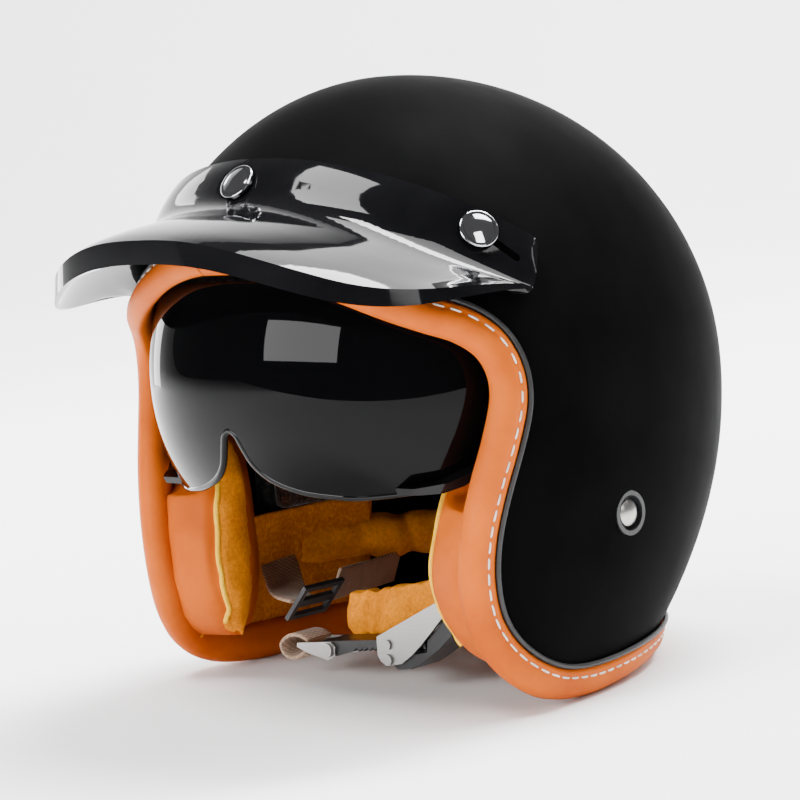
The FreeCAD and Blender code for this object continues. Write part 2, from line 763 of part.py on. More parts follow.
LEVER = [(14.2, 9.1), (19.0, 8.6), (26.4, 9.6), (34.9, 11.0), (35.8, 16.4), (42.0, 21.8),
         (49.5, 28.4),
         (52.5, 24.6), (49.0, 19.0), (42.0, 13.0), (33.0, 7.4), (26.0, 3.6),
         (18.0, 2.6), (14.2, 4.4)]
lever = front_plate(LEVER, near + 1.6, far - 1.6)
lever = lever.fuse(y_pin(LEVER_PIN, 2.4, near + 1.6, far - 1.6))
lever = lever.cut(y_pin(LEVER_PIN, 1.5, near, far))
lever = lever.cut(Part.makeBox(7.4, 6.4, 8.0, V(LEVER_PIN.x - 3.4, BUCKLE_Y - 3.2, 2.0)))
keep("release_lever", lever)


def coil():
    """Return spring wound round the lever pin."""
    wires = []
    for i in range(49):
        t = 2.0 * math.pi * i / 12
        out = V(math.cos(t), 0, math.sin(t))
        mid = V(LEVER_PIN.x, BUCKLE_Y - 2.2 + 1.1 * i / 12, LEVER_PIN.z) + out * 2.1
        ring = []
        for k in range(7):
            w = math.pi * k / 3
            ring.append(mid + out * (0.38 * math.cos(w)) + V(0, 0.38 * math.sin(w), 0))
        wires.append(Part.makePolygon(ring))
    return Part.makeLoft(wires, True, True)


keep("lever_spring", coil())

def tongue_shape():
    top = [(-28.0, 11.2), (8.0, 14.4), (34.0, 17.1)]
    base = [(34.0, 12.6)]
    teeth = []
    x = 33.0
    while x > -6.0:
        floor = 9.9 + TONGUE_LEAN * (x - 9.0)
        teeth += [(x, floor), (x - 0.6, floor + 1.7), (x - 3.0, floor + 0.2)]
        x -= 3.2
    rest = [(-8.0, 8.4), (-23.0, 4.2), (-28.0, 4.6), (-30.0, 6.6)]
    return top + base + teeth + rest


tongue = front_plate(tongue_shape(), near + 2.0, far - 2.0)
CLIP_RIVET = V(-22.5, 0, 8.0)
tongue = tongue.cut(y_pin(CLIP_RIVET, 1.9, near - 5, far + 5))
keep("ratchet_tongue", tongue)
CLIP = [(-41.0, 9.8), (-20.5, 11.6), (-18.0, 9.6), (-18.6, 5.6), (-23.0, 3.4), (-36.0, 6.0),
        (-41.4, 8.0)]
clip = front_plate(CLIP, near + 0.8, near + 1.9).fuse(front_plate(CLIP, far - 1.9, far - 0.8))
clip = clip.cut(y_pin(CLIP_RIVET, 1.9, near - 5, far + 5))
clip = clip.fuse(y_pin(V(-37.8, 0, 8.2), 1.1, near + 0.8, far - 0.8))
keep("tongue_clip", clip)
clip_rivet = y_pin(CLIP_RIVET, 1.85, near + 0.7, far - 0.7)
clip_rivet = clip_rivet.fuse(y_pin(CLIP_RIVET, 3.0, near - 0.3, near + 0.78))
keep("clip_rivet", clip_rivet.fuse(y_pin(CLIP_RIVET, 3.0, far - 0.78, far + 0.3)))

# ---- webbing ------------------------------------------------------------
Y_DIR = V(0, 1, 0)
loop_path = smooth([V(-36.4, BUCKLE_Y, 10.6), V(-41.0, BUCKLE_Y, 12.4), V(-48.0, BUCKLE_Y, 12.0),
                    V(-53.4, BUCKLE_Y, 7.6), V(-51.0, BUCKLE_Y, 3.2), V(-44.5, BUCKLE_Y, 2.6),
                    V(-38.6, BUCKLE_Y, 5.4)], 15)
loop = strip([(p, Y_DIR) for p in loop_path], 15.2, WEB_T)
keep("tongue_webbing", loop.cut(clip))

right_path = smooth([V(-(WALL - 10.2), 2.9, 56.8), V(-97.0, 0.6, 47.0), V(-86.0, -4.0, 38.0),
                     V(-72.0, -14.0, 30.0), V(-60.0, -22.0, 26.5), V(-47.2, -25.0, 25.4)], 13)
right_rows = [(p, V(0.25, 1.0, -0.1) if i > 5 else V(0.06 * i, 1.0, 0)) for i, p in enumerate(right_path)]
strap_right = strip(right_rows, 18.0, WEB_T)
keep("webbing_right", strap_right)
strap_rooms = [strip(right_rows, 19.0, WEB_T + 1.0)]

left_path = smooth([V(WALL - 10.2, 2.9, 56.8), V(97.0, 1.6, 51.0), V(84.0, -3.4, 44.6),
                    V(70.0, -11.0, 38.6), V(60.5, -21.0, 35.6), V(52.2, -30.0, 33.4)], 13)
left_rows = [(p, V(-0.25, 1.0, 0.1) if i > 5 else V(-0.06 * i, 1.0, 0)) for i, p in enumerate(left_path)]
strap_left = strip(left_rows, 15.0, WEB_T)
keep("webbing_left", strap_left)
strap_rooms.append(strip(left_rows, 16.0, WEB_T + 1.0))

leg_path = smooth([V(-72.0, 58.0, 25.0), V(-64.0, 30.0, 26.0), V(-54.0, 5.0, 28.0),
                   V(-46.5, -6.0, 29.6), V(-42.5, -11.5, 30.4)], 9)
leg_rows = [(p, V(0.3, 0.25, 1.0)) for p in leg_path]
strap_leg = strip(leg_rows, 15.0, WEB_T)
keep("webbing_rear_leg", strap_leg)
strap_rooms.append(strip(leg_rows, 16.0, WEB_T + 1.0))
for room in strap_rooms:
    roll = roll.cut(room)
keep("neck_roll", max(roll.Solids, key=lambda s: s.Volume))
cheek = PARTS["cheek_pad_right"].cut(strap_rooms[0])
keep("cheek_pad_right", max(cheek.Solids, key=lambda s: s.Volume))

SLIDER_MID = V(-42.4, -25.0, 26.4)
slider = Part.makeBox(20.0, 24.0, 2.0, V(-10.0, -12.0, -1.0))
for x in (-7.4, 2.2):
    slider = slider.cut(Part.makeBox(5.2, 19.0, 4.0, V(x, -9.5, -2.0)))
slider.rotate(V(0, 0, 0), V(0, 1, 0), -48.0)
slider.translate(SLIDER_MID)
keep("webbing_slider", slider.cut(strap_right).cut(strap_leg))

SLEEVE = [(-31.0, 12.0), (-31.5, 21.0), (-29.0, 29.0), (-6.0, 33.0), (26.0, 38.5),
          (50.0, 45.0), (52.0, 38.5), (30.0, 25.5), (2.0, 15.0), (-16.0, 9.5), (-27.0, 8.5)]
sleeve = front_plate(SLEEVE, BUCKLE_Y + BUCKLE_HALF + 1.8, BUCKLE_Y + BUCKLE_HALF + 10.0)
sleeve = sleeve.cut(strip(left_rows, 16.4, WEB_T + 0.8))
keep("strap_sleeve", max(sleeve.Solids, key=lambda s: s.Volume))

for name in PARTS:
    shape = PARTS[name]
    solids = shape.Solids
    if not solids:
        raise ValueError("no solid in " + name)
    shape = solids[0] if len(solids) == 1 else Part.makeCompound(solids)
    shape = shape.copy()
    shape.translate(ORIGIN)
    shape.exportStep(os.path.join("parts", name + ".step"))
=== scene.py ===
"""Looks of the open face helmet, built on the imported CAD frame. Metres, row frame."""
import bmesh
import bpy
import json
import math
import numpy as np
from mathutils import Matrix, Vector, noise


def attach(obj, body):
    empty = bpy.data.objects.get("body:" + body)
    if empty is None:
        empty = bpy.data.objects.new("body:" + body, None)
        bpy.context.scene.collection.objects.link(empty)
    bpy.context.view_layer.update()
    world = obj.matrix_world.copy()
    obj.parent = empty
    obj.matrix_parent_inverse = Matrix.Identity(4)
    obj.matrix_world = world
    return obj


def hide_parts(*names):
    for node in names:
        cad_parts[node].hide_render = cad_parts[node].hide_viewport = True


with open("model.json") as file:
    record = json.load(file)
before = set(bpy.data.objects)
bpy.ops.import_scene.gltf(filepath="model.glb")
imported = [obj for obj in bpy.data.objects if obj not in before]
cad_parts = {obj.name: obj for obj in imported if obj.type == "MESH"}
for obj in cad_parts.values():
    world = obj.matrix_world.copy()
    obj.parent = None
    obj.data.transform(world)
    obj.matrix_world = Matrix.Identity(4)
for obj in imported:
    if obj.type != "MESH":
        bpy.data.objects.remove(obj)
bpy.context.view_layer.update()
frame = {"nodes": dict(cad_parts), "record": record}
NODES = frame["nodes"]

# design sizes in mm, in the modelling axes of the CAD; mm() moves them to the row frame
ORIGIN = np.array([0.0, -2.1, 6.64])
HALF_WIDTH, FRONT, REAR = 118.0, 117.3, 150.9
CROWN_Z, EQUATOR_Z, PLAN_POWER = 249.6, 115.2, 2.1
SIDE_TUCK, FRONT_TUCK, REAR_TUCK, FORWARD_DRIFT = 0.15, 0.08, 0.33, 35.0
RIM = [(-99.6, 189.0), (-96.6, 187.2), (-93.2, 182.6), (-88.6, 175.0), (-82.0, 168.0),
       (-74.5, 162.6), (-62.9, 156.0), (-53.6, 146.4), (-48.6, 133.0), (-48.3, 119.5),
       (-52.6, 102.0), (-57.8, 85.2), (-62.0, 66.0), (-62.6, 47.5), (-59.4, 32.0),
       (-51.2, 19.6), (-36.5, 10.2), (-15.5, 6.3), (10.0, 6.2), (40.0, 7.4),
       (67.2, 8.6), (90.0, 9.0), (112.0, 9.2)]
EDGE_BACK = 7.0
PIVOT_Y, PIVOT_Z = -10.0, 128.0
LENS_R, LENS_HALF, LENS_POWER, LENS_THICK = 98.5, 97.0, 2.3, 2.2
BUCKLE_Y = -30.0


def mm(p):
    """Point in modelling millimetres to the row frame in metres."""
    return (np.asarray(p, float) + ORIGIN) * 0.001


# ---- head form ----------------------------------------------------------
def section_size(z, inset):
    """Half width, front reach, rear reach and middle y of the form at height z, mm."""
    a, f, r = HALF_WIDTH - inset, FRONT - inset, REAR - inset
    if z >= EQUATOR_Z:
        rise = (z - EQUATOR_Z) / (CROWN_Z - inset - EQUATOR_Z)
        s = math.sqrt(max(0.0, 1.0 - rise * rise))
        return a * s, f * s, r * s, 0.0
    t = (EQUATOR_Z - z) / EQUATOR_Z
    mid = -FORWARD_DRIFT * t * t
    return (a * (1 - SIDE_TUCK * t * t), f * (1 - FRONT_TUCK * t * t) + mid,
            r * (1 - REAR_TUCK * t ** 2.2) - mid, mid)


def form_value(x, y, z, inset):
    """Below 1 inside the form, above 1 outside it."""
    a, f, r, mid = section_size(z, inset)
    if a <= 0.01:
        return 9.0
    reach = r if y > mid else f
    return (abs(x) / a) ** PLAN_POWER + (abs(y - mid) / reach) ** PLAN_POWER


def form_x(y, z, inset):
    """Half width of the form at (y, z), or None beyond its ends."""
    a, f, r, mid = section_size(z, inset)
    reach = r if y > mid else f
    left = 1.0 - (abs(y - mid) / max(reach, 0.01)) ** PLAN_POWER
    return a * left ** (1.0 / PLAN_POWER) if left >= 0 else None


def form_normal(p, inset=0.0):
    grad = []
    for k in range(3):
        step = np.zeros(3)
        step[k] = 0.05
        grad.append(form_value(*(p + step), inset) - form_value(*(p - step), inset))
    n = np.array(grad)
    return n / np.linalg.norm(n)


# ---- curves and meshes --------------------------------------------------
def spline(points, count):
    """Centripetal Catmull-Rom curve through points, evenly resampled."""
    pts = [np.asarray(p, float) for p in points]
    pts = [2 * pts[0] - pts[1]] + pts + [2 * pts[-1] - pts[-2]]
    out = []
    for i in range(1, len(pts) - 2):
        p0, p1, p2, p3 = pts[i - 1:i + 3]
        t0 = 0.0
        t1 = t0 + np.linalg.norm(p1 - p0) ** 0.5
        t2 = t1 + np.linalg.norm(p2 - p1) ** 0.5
        t3 = t2 + np.linalg.norm(p3 - p2) ** 0.5
        for t in np.linspace(t1, t2, 24, endpoint=False):
            a1 = (t1 - t) / (t1 - t0) * p0 + (t - t0) / (t1 - t0) * p1
            a2 = (t2 - t) / (t2 - t1) * p1 + (t - t1) / (t2 - t1) * p2
            a3 = (t3 - t) / (t3 - t2) * p2 + (t - t2) / (t3 - t2) * p3
            b1 = (t2 - t) / (t2 - t0) * a1 + (t - t0) / (t2 - t0) * a2
            b2 = (t3 - t) / (t3 - t1) * a2 + (t - t1) / (t3 - t1) * a3
            out.append((t2 - t) / (t2 - t1) * b1 + (t - t1) / (t2 - t1) * b2)
    out.append(pts[-2])
    return resample(np.array(out), count)


def resample(line, count, closed=False):
    if closed:
        line = np.vstack([line, line[:1]])
    steps = np.linalg.norm(np.diff(line, axis=0), axis=1)
    run = np.concatenate([[0], np.cumsum(steps)])
    goal = np.linspace(0, run[-1], count, endpoint=not closed)
    return np.stack([np.interp(goal, run, line[:, k]) for k in range(line.shape[1])], 1)


def resample_with(line, fields, count):
    """Fields given at the points of a closed line, at count even steps along it."""
    steps = np.linalg.norm(np.diff(np.vstack([line, line[:1]]), axis=0), axis=1)
    run = np.concatenate([[0], np.cumsum(steps)])
    goal = np.linspace(0, run[-1], count, endpoint=False)
    out = []
    for field in fields:
        ring = np.vstack([field, field[:1]])
        out.append(np.stack([np.interp(goal, run, ring[:, k]) for k in range(3)], 1))
    return out


def grid_object(name, rows, wrap_u=False, wrap_v=True, caps=False):
    """Mesh over rows of points (row frame, metres). UV in metres along and across."""
    rows = np.asarray(rows, float)
    nu, nv = rows.shape[:2]
    verts = [tuple(p) for p in rows.reshape(-1, 3)]
    faces, uvs = [], []
    along = np.concatenate([[0], np.cumsum(np.linalg.norm(np.diff(rows.mean(1), axis=0), axis=1))])
    ring = rows[nu // 2]
    closed_ring = np.vstack([ring, ring[:1]]) if wrap_v else ring
    across = np.concatenate([[0], np.cumsum(np.linalg.norm(np.diff(closed_ring, axis=0), axis=1))])
    last = np.linalg.norm(rows[0].mean(0) - rows[-1].mean(0))
    for i in range(nu if wrap_u else nu - 1):
        i2 = (i + 1) % nu
        u0 = along[i]
        u1 = along[i2] if i2 else along[-1] + last
        for j in range(nv if wrap_v else nv - 1):
            j2 = (j + 1) % nv
            faces.append((i * nv + j, i * nv + j2, i2 * nv + j2, i2 * nv + j))
            v1 = across[j + 1] if j + 1 < len(across) else across[-1]
            uvs += [(u0, across[j]), (u0, v1), (u1, v1), (u1, across[j])]
    if caps and not wrap_u:
        for row, flip in ((0, False), (nu - 1, True)):
            ids = [row * nv + j for j in range(nv)]
            faces.append(tuple(ids if not flip else ids[::-1]))
            uvs += [(0.0, 0.0)] * nv
    mesh = bpy.data.meshes.new(name)
    mesh.from_pydata(verts, [], faces)
    layer = mesh.uv_layers.new(name="UVMap")
    layer.data.foreach_set("uv", np.array(uvs, np.float32).ravel())
    mesh.update()
    obj = bpy.data.objects.new(name, mesh)
    bpy.context.scene.collection.objects.link(obj)
    fix_normals(obj)
    mesh.shade_smooth()
    return obj


def fix_normals(obj):
    bm = bmesh.new()
    bm.from_mesh(obj.data)
    bmesh.ops.recalc_face_normals(bm, faces=bm.faces)
    bm.to_mesh(obj.data)
    bm.free()


def frames_along(line, hint):
    """Side and up vectors along a line; side is hint turned square to the line."""
    t = np.gradient(line, axis=0)
    t /= np.linalg.norm(t, axis=1)[:, None]
    side = np.tile(np.asarray(hint, float), (len(line), 1))
    side = side - (side * t).sum(1)[:, None] * t
    side /= np.linalg.norm(side, axis=1)[:, None]
    return side, np.cross(t, side)


def tube(name, line, radius, hint, sides):
    """Round tube along a line in metres, with closed ends."""
    side, up = frames_along(line, hint)
    angles = np.linspace(0, 2 * math.pi, sides, endpoint=False)
    rows = [[p + radius * (math.cos(a) * s + math.sin(a) * u) for a in angles]
            for p, s, u in zip(line, side, up)]
    return grid_object(name, rows, caps=True)


# ---- materials ----------------------------------------------------------
def new_material(name, color, roughness, **sockets):
    mat = bpy.data.materials.new(name)
    mat.use_nodes = True
    nt = mat.node_tree
    bsdf = nt.nodes["Principled BSDF"]
    bsdf.inputs["Base Color"].default_value = (*color, 1)
    bsdf.inputs["Roughness"].default_value = roughness
    for key, value in sockets.items():
        bsdf.inputs[key.replace("_", " ")].default_value = value
    return mat, nt, bsdf


def coords(nt, kind="Object"):
    node = nt.nodes.new("ShaderNodeTexCoord")
    return node.outputs[kind]


def noise_node(nt, vector, scale, detail=4.0, rough=0.55):
    n = nt.nodes.new("ShaderNodeTexNoise")
    n.inputs["Scale"].default_value = scale
    n.inputs["Detail"].default_value = detail
    n.inputs["Roughness"].default_value = rough
    nt.links.new(vector, n.inputs["Vector"])
    return n.outputs["Fac"]


def ramp_node(nt, fac, stops):
    r = nt.nodes.new("ShaderNodeValToRGB")
    el = r.color_ramp.elements
    while len(el) < len(stops):
        el.new(0.5)
    for e, (pos, col) in zip(el, stops):
        e.position = pos
        e.color = (*col, 1)
    nt.links.new(fac, r.inputs["Fac"])
    return r.outputs["Color"]


def map_range(nt, fac, low, high):
    m = nt.nodes.new("ShaderNodeMapRange")
    m.inputs["To Min"].default_value = low
    m.inputs["To Max"].default_value = high
    nt.links.new(fac, m.inputs["Value"])
    return m.outputs["Result"]


def math_node(nt, op, a, b):
    m = nt.nodes.new("ShaderNodeMath")
    m.operation = op
    for socket, value in ((m.inputs[0], a), (m.inputs[1], b)):
        if isinstance(value, (int, float)):
            socket.default_value = value
        else:
            nt.links.new(value, socket)
    return m.outputs[0]


def bump(nt, bsdf, height, strength, distance, chain=None):
    b = nt.nodes.new("ShaderNodeBump")
    b.inputs["Strength"].default_value = strength
    b.inputs["Distance"].default_value = distance
    nt.links.new(height, b.inputs["Height"])
    if chain is not None:
        nt.links.new(chain, b.inputs["Normal"])
    nt.links.new(b.outputs["Normal"], bsdf.inputs["Normal"])
    return b.outputs["Normal"]


def voronoi(nt, vector, scale):
    v = nt.nodes.new("ShaderNodeTexVoronoi")
    v.feature = "F1"
    v.inputs["Scale"].default_value = scale
    nt.links.new(vector, v.inputs["Vector"])
    return v.outputs["Distance"]


def matt_black():
    mat, nt, b = new_material("matt_black_shell", (0.002, 0.002, 0.002), 0.5, Specular_IOR_Level=0.004)
    c = coords(nt)
    cloudy = noise_node(nt, c, 22.0)
    col = ramp_node(nt, cloudy, [(0.3, (0.0015, 0.0015, 0.0016)), (0.7, (0.003, 0.003, 0.0031))])
    nt.links.new(col, b.inputs["Base Color"])
    nt.links.new(map_range(nt, noise_node(nt, c, 60.0), 0.46, 0.58), b.inputs["Roughness"])
    bump(nt, b, noise_node(nt, c, 2600.0, 2.0), 0.10, 0.0001)
    return mat


def gloss_black():
    mat, nt, b = new_material("gloss_black", (0.002, 0.002, 0.0022), 0.05, Specular_IOR_Level=0.17)
    c = coords(nt)
    cloudy = noise_node(nt, c, 30.0)
    col = ramp_node(nt, cloudy, [(0.3, (0.002, 0.002, 0.0025)), (0.7, (0.0045, 0.0045, 0.005))])
    nt.links.new(col, b.inputs["Base Color"])
    nt.links.new(map_range(nt, noise_node(nt, c, 140.0), 0.03, 0.075), b.inputs["Roughness"])
    return mat


def leather():
    light, dark = (0.56, 0.112, 0.005), (0.40, 0.066, 0.002)
    mat, nt, b = new_material("tan_leather", light, 0.5, Specular_IOR_Level=0.06)
    c = coords(nt)
    col = ramp_node(nt, noise_node(nt, c, 34.0, 6.0), [(0.28, dark), (0.72, light)])
    nt.links.new(col, b.inputs["Base Color"])
    grain = voronoi(nt, c, 1250.0)
    fine = noise_node(nt, c, 900.0, 3.0)
    nt.links.new(map_range(nt, noise_node(nt, c, 260.0), 0.42, 0.60), b.inputs["Roughness"])
    n1 = bump(nt, b, grain, 0.16, 0.00025)
    bump(nt, b, fine, 0.12, 0.0003, n1)
    return mat


def suede(name="ochre_suede", light=(0.88, 0.30, 0.003), dark=(0.46, 0.125, 0.002)):
    mat, nt, b = new_material(name, light, 0.95, Specular_IOR_Level=0.08, Sheen_Weight=0.08)
    b.inputs["Sheen Roughness"].default_value = 0.45
    b.inputs["Sheen Tint"].default_value = (1.0, 0.55, 0.08, 1)
    c = coords(nt)
    big = noise_node(nt, c, 70.0, 3.0)
    nap = noise_node(nt, c, 620.0, 5.0, 0.7)
    mix = math_node(nt, "ADD", math_node(nt, "MULTIPLY", big, 0.45), math_node(nt, "MULTIPLY", nap, 0.55))
    middle = tuple(0.5 * (a + d) for a, d in zip(light, dark))
    col = ramp_node(nt, mix, [(0.34, dark), (0.52, middle), (0.66, light)])
    nt.links.new(col, b.inputs["Base Color"])
    n1 = bump(nt, b, nap, 0.45, 0.0006)
    bump(nt, b, noise_node(nt, c, 2200.0, 2.0), 0.4, 0.0003, n1)
    return mat


def webbing():
    base = (0.46, 0.30, 0.20)
    mat, nt, b = new_material("webbing", base, 0.85, Specular_IOR_Level=0.2, Sheen_Weight=0.15)
    uv = coords(nt, "UV")
    w1 = nt.nodes.new("ShaderNodeTexWave")
    w1.wave_type = "BANDS"
    w1.bands_direction = "DIAGONAL"
    w1.inputs["Scale"].default_value = 190.0
    nt.links.new(uv, w1.inputs["Vector"])
    w2 = nt.nodes.new("ShaderNodeTexWave")
    w2.bands_direction = "X"
    w2.inputs["Scale"].default_value = 260.0
    nt.links.new(uv, w2.inputs["Vector"])
    weave = math_node(nt, "MULTIPLY", w1.outputs["Fac"], w2.outputs["Fac"])
    dirt = noise_node(nt, coords(nt), 160.0, 4.0)
    mix = math_node(nt, "ADD", math_node(nt, "MULTIPLY", weave, 0.6), math_node(nt, "MULTIPLY", dirt, 0.4))
    shade = tuple(0.5 * v for v in base)
    worn = tuple(min(1, 1.25 * v) for v in base)
    col = ramp_node(nt, mix, [(0.1, shade), (0.6, base), (0.9, worn)])
    nt.links.new(col, b.inputs["Base Color"])
    bump(nt, b, weave, 0.6, 0.0004)
    return mat


def metal(name, color, roughness, brushed=False):
    mat, nt, b = new_material(name, color, roughness, Metallic=1.0)
    c = coords(nt)
    if brushed:
        m = nt.nodes.new("ShaderNodeMapping")
        m.inputs["Scale"].default_value = (60.0, 900.0, 2600.0)
        nt.links.new(c, m.inputs["Vector"])
        streak = noise_node(nt, m.outputs["Vector"], 1.0, 3.0)
        nt.links.new(map_range(nt, streak, roughness - 0.06, roughness + 0.12), b.inputs["Roughness"])
        bump(nt, b, streak, 0.08, 0.0001)
        fac = streak
    else:
        fac = noise_node(nt, c, 90.0)
        smudge = noise_node(nt, c, 300.0)
        nt.links.new(map_range(nt, smudge, roughness * 0.7, roughness * 1.5), b.inputs["Roughness"])
    col = ramp_node(nt, fac, [(0.3, tuple(0.86 * v for v in color)), (0.7, color)])
    nt.links.new(col, b.inputs["Base Color"])
    return mat


def plastic(name, color=(0.012, 0.012, 0.013), roughness=0.42, grain=1500.0):
    mat, nt, b = new_material(name, color, roughness, Specular_IOR_Level=0.4)
    c = coords(nt)
    dark = tuple(0.7 * v for v in color)
    light = tuple(1.3 * v for v in color)
    col = ramp_node(nt, noise_node(nt, c, 120.0), [(0.3, dark), (0.7, light)])
    nt.links.new(col, b.inputs["Base Color"])
    dull = map_range(nt, noise_node(nt, c, 400.0), roughness - 0.06, roughness + 0.08)
    nt.links.new(dull, b.inputs["Roughness"])
    bump(nt, b, voronoi(nt, c, grain), 0.12, 0.0001)
    return mat


def foam():
    mat, nt, b = new_material("black_foam", (0.02, 0.02, 0.02), 0.8, Specular_IOR_Level=0.25)
    c = coords(nt)
    cell = voronoi(nt, c, 330.0)
    col = ramp_node(nt, cell, [(0.1, (0.03, 0.03, 0.031)), (0.7, (0.008, 0.008, 0.008))])
    nt.links.new(col, b.inputs["Base Color"])
    bump(nt, b, cell, 0.5, 0.0008)
    return mat


def knit():
    mat, nt, b = new_material("liner_fabric", (0.05, 0.02, 0.012), 0.95,
                              Specular_IOR_Level=0.1, Sheen_Weight=0.2)
    c = coords(nt)
    cell = voronoi(nt, c, 620.0)
    col = ramp_node(nt, cell, [(0.1, (0.07, 0.026, 0.014)), (0.6, (0.018, 0.008, 0.006))])
    nt.links.new(col, b.inputs["Base Color"])
    bump(nt, b, cell, 0.6, 0.0005)
    return mat


def smoke():
    mat, nt, b = new_material("smoke_lens", (0.001, 0.001, 0.0012), 0.02, Specular_IOR_Level=0.085)
    c = coords(nt)
    nt.links.new(map_range(nt, noise_node(nt, c, 25.0), 0.012, 0.03), b.inputs["Roughness"])
    cloudy = noise_node(nt, c, 8.0)
    col = ramp_node(nt, cloudy, [(0.3, (0.0008, 0.0008, 0.001)), (0.7, (0.0016, 0.0016, 0.002))])
    nt.links.new(col, b.inputs["Base Color"])
    b.inputs["Alpha"].default_value = 0.985
    return mat


MAT = {
    "matt_black_shell": matt_black(),
    "gloss_black": gloss_black(),
    "smoke_lens": smoke(),
    "tan_leather": leather(),
    "ochre_suede": suede(),
    "liner_fabric": knit(),
    "black_foam": foam(),
    "black_plastic": plastic("black_plastic"),
    "black_rubber": plastic("black_rubber", (0.009, 0.009, 0.01), 0.5, 900.0),
    "chrome": metal("chrome", (0.50, 0.50, 0.52), 0.05),
    "steel": metal("steel", (0.36, 0.35, 0.34), 0.30, brushed=True),
    "webbing": webbing(),
}
THREAD = plastic("white_thread", (0.72, 0.66, 0.58), 0.8, 2400.0)

SHARP_ANGLE = math.radians(34.0)
for part in frame["record"]["subparts"]:
    node = NODES[part["node"]]
    node.data.materials.clear()
    node.data.materials.append(MAT[part["material_slot"]])
    node.data.shade_smooth()
    node.data.set_sharp_from_angle(angle=SHARP_ANGLE)


def finish_piece(obj, body, material, slot, *replaced):
    obj.data.materials.clear()
    obj.data.materials.append(material)
    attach(obj, body)
    if replaced:
        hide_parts(*replaced)
    return obj


# ---- leather edge trim --------------------------------------------------
def rim_offset(offset, count):
    """Trim line in the side view, moved by offset mm towards the opening."""
    line = spline([(0, y, z) for y, z in RIM], count)
    t = np.gradient(line, axis=0)
    t /= np.linalg.norm(t, axis=1)[:, None]
    return np.stack([line[:, 1] + t[:, 2] * offset, line[:, 2] - t[:, 1] * offset], 1)


def edge_path(count):
    """Closed line round the shell's edge with its outward and opening directions."""
    rows = rim_offset(EDGE_BACK, 900)
    lead = [(rows[0, 0] - 12 + 0.2 * i, rows[0, 1] + 2.0 * (1 - i / 60)) for i in range(60)]
    tail = [(rows[-1, 0] + 0.2 * i, rows[-1, 1]) for i in range(1, 200)]
    half = []
    for y, z in lead + [tuple(r) for r in rows] + tail:
        x = form_x(y, z, 0.0)
        if x is not None:
            half.append((x, y, z))
    half = np.array(half)
    half[0, 0] = half[-1, 0] = 0.0
    ring = np.vstack([half, half[-2:0:-1] * [-1, 1, 1]])
    ring = resample(ring, count, closed=True)
    along = np.roll(ring, -1, 0) - np.roll(ring, 1, 0)
    along /= np.linalg.norm(along, axis=1)[:, None]
    out = np.array([form_normal(p) for p in ring])
    opening = np.cross(along, out)
    opening /= np.linalg.norm(opening, axis=1)[:, None]
    return ring, out, opening, along


RING, OUT, OPEN, ALONG = edge_path(560)


def trim_profile(z):
    deep = 6.4 + 3.4 * (1 - min(1.0, max(0.0, (z - 118.0) / 32.0)))
    return [(-7.3, 0.1), (-7.2, 1.2), (-6.2, 2.35), (-5.2, 2.75), (-4.35, 2.62), (-3.9, 2.85),
            (-2.6, 3.75), (-0.6, 4.15), (1.8, 3.75), (4.2, 2.35), (5.9, 0.3), (6.9, -2.4),
            (6.1, -0.60 * deep), (3.6, -0.84 * deep), (0.0, -0.97 * deep), (-4.5, -deep),
            (-8.6, -0.92 * deep), (-9.4, -4.6), (-3.0, -4.35), (0.3, -4.2), (0.3, 0.2)]


rows = []
for p, n, e in zip(RING, OUT, OPEN):
    rows.append([mm(p + e * a + n * b) for a, b in trim_profile(p[2])])
trim = grid_object("leather_edge_trim", rows, wrap_u=True)
finish_piece(trim, "helmet", MAT["tan_leather"], "tan_leather", "edge_trim")


def stitches(name, points, normals, along, length, radius):
    """One mesh of short rounded threads laid at points."""
    verts, faces = [], []
    prof = [(-0.5, 0.25), (-0.42, 0.8), (-0.2, 1.0), (0.2, 1.0), (0.42, 0.8), (0.5, 0.25)]
    for p, n, a in zip(points, normals, along):
        s = np.cross(n, a)
        base = len(verts)
        for u, w in prof:
            dip = -0.9 * radius * (2 * u) ** 4
            for k in range(8):
                t = 2 * math.pi * k / 8
                q = p + a * (u * length) + (s * math.cos(t) + n * math.sin(t)) * (radius * w) + n * dip
                verts.append(tuple(q))
        for i in range(len(prof) - 1):
            for k in range(8):
                k2 = (k + 1) % 8
                low, high = base + i * 8, base + (i + 1) * 8
                faces.append((low + k, low + k2, high + k2, high + k))
        faces.append(tuple(base + k for k in reversed(range(8))))
        faces.append(tuple(base + (len(prof) - 1) * 8 + k for k in range(8)))
    mesh = bpy.data.meshes.new(name)
    mesh.from_pydata(verts, [], faces)
    mesh.update()
    mesh.shade_smooth()
    obj = bpy.data.objects.new(name, mesh)
    bpy.context.scene.collection.objects.link(obj)
    fix_normals(obj)
    return obj


STITCH_PITCH, STITCH_BACK, STITCH_UP = 6.6, -4.35, 2.95
STITCH_LENGTH, STITCH_RADIUS = 0.0047, 0.00042
total = np.linalg.norm(RING - np.roll(RING, 1, 0), axis=1).sum()
fine = resample_with(RING, (RING, OUT, OPEN, ALONG), int(total / STITCH_PITCH))
unit = [v / np.linalg.norm(v, axis=1)[:, None] for v in fine[1:]]
spots = [mm(p + e * STITCH_BACK + n * STITCH_UP) for p, n, e in zip(fine[0], unit[0], unit[1])]
thread = stitches("trim_stitches", spots, unit[0], unit[2], STITCH_LENGTH, STITCH_RADIUS)
finish_piece(thread, "helmet", THREAD, "tan_leather")


